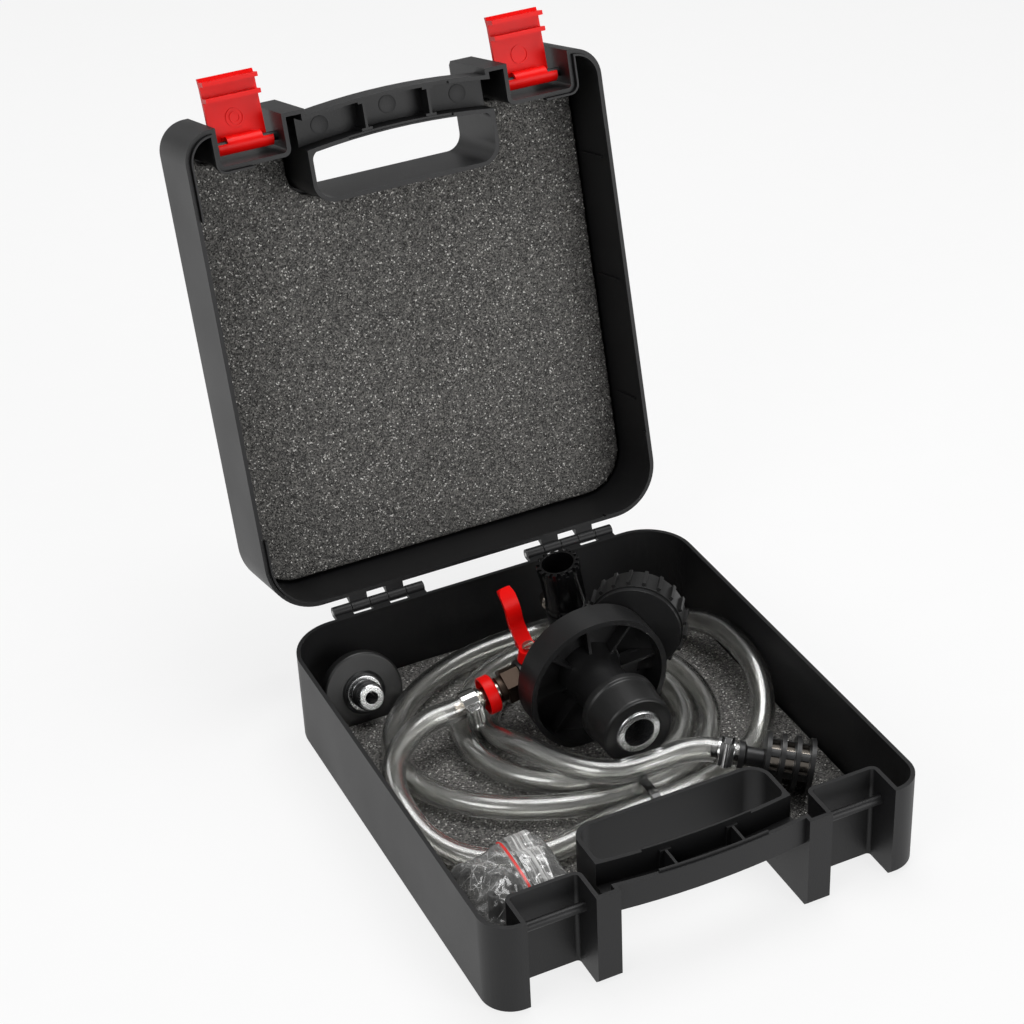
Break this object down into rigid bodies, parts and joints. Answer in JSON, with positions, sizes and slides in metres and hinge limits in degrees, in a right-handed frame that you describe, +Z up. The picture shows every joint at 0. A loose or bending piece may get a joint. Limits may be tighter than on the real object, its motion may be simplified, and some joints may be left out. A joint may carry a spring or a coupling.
{
  "type": "coolant refill kit",
  "caption": "Hinged plastic carrying case with foam, holding a vacuum coolant filler head, a coiled clear hose with strainer, a stopper adapter and a zip bag.",
  "frame": {"origin": "centre of the tray's underside, on the ground", "axes": "+X to the right, -Y to the front with the handle, +Y to the hinges, +Z up"},
  "size_m": [0.236, 0.3868, 0.3331],
  "materials": {
    "case_plastic": "fine moulded grain",
    "pin_steel": "plain",
    "foam": "speckled bonded foam",
    "head_plastic": "satin",
    "black_rubber": "matt",
    "turned_aluminium": "turned",
    "brass": "machined",
    "gloss_black": "gloss",
    "plated_steel": "plated",
    "clear_lens": "clear",
    "dial_white": "printed",
    "red_plastic": "moulded",
    "white_plastic": "sealing",
    "clamp_steel": "bright",
    "clear_hose": "clear flexible",
    "clear_film": "thin film"
  },
  "bodies": {
    "tray": {"tray_shell": "case_plastic", "hinge_pins": "pin_steel", "tray_foam": "foam", "head_housing": "head_plastic", "stopper_rubber": "black_rubber", "stopper_core": "turned_aluminium", "manifold": "head_plastic", "venturi_body": "head_plastic", "venturi_nozzle": "brass", "muffler_tube": "gloss_black", "air_nipple": "plated_steel", "gauge_case": "head_plastic", "gauge_bezel": "black_rubber", "gauge_lens": "clear_lens", "gauge_dial": "dial_white", "bourdon_tube": "brass", "gauge_movement": "brass", "gauge_stem": "brass", "valve_body": "head_plastic", "valve_seats": "white_plastic", "hex_nipple": "plated_steel", "red_collar": "red_plastic", "head_barb": "plated_steel", "head_clamp": "clamp_steel", "head_clamp_screw": "clamp_steel", "hose_lead": "clear_hose", "hose_coil": "clear_hose", "hose_tail": "clear_hose", "tail_clamp": "clamp_steel", "tail_clamp_screw": "clamp_steel", "cable_tie": "gloss_black", "strainer_stem": "head_plastic", "strainer_cage": "head_plastic", "strainer_screen": "plated_steel", "adapter_disc": "black_rubber", "adapter_nozzle": "turned_aluminium", "adapter_o_rings": "black_rubber", "zip_bag": "clear_film", "zip_strip": "red_plastic", "filler_cones": "head_plastic"},
    "lid": {"lid_shell": "case_plastic", "lid_foam": "foam"},
    "left_latch": {"left_latch": "red_plastic"},
    "right_latch": {"right_latch": "red_plastic"},
    "valve_lever": {"valve_lever": "red_plastic", "valve_stem": "brass", "valve_ball": "plated_steel", "lever_screw": "plated_steel"},
    "gauge_needle": {"gauge_needle": "red_plastic"}
  },
  "joints": [
    {"name": "lid_hinge", "type": "hinge", "parent": "tray", "child": "lid", "pos_m": [0, 0.1387, 0.0547], "axis": [1, 0, 0], "range_deg": [0, 104.4]},
    {"name": "left_latch_hinge", "type": "hinge", "parent": "lid", "child": "left_latch", "pos_m": [-0.0816, 0.21679, 0.30174], "axis": [1, 0, 0], "range_deg": [0, 95]},
    {"name": "right_latch_hinge", "type": "hinge", "parent": "lid", "child": "right_latch", "pos_m": [0.0816, 0.21679, 0.30174], "axis": [1, 0, 0], "range_deg": [0, 95]},
    {"name": "valve_turn", "type": "hinge", "parent": "tray", "child": "valve_lever", "pos_m": [-0.00818, 0.05185, 0.05802], "axis": [-0.165, 0.0029, 0.9863], "range_deg": [0, 90]},
    {"name": "needle_turn", "type": "hinge", "parent": "tray", "child": "gauge_needle", "pos_m": [0.0485, 0.03986, 0.06105], "axis": [0.5768, 0.8139, -0.0697], "range_deg": [0, 270], "stiffness_Nm_per_rad": 0.0002}
  ]
}
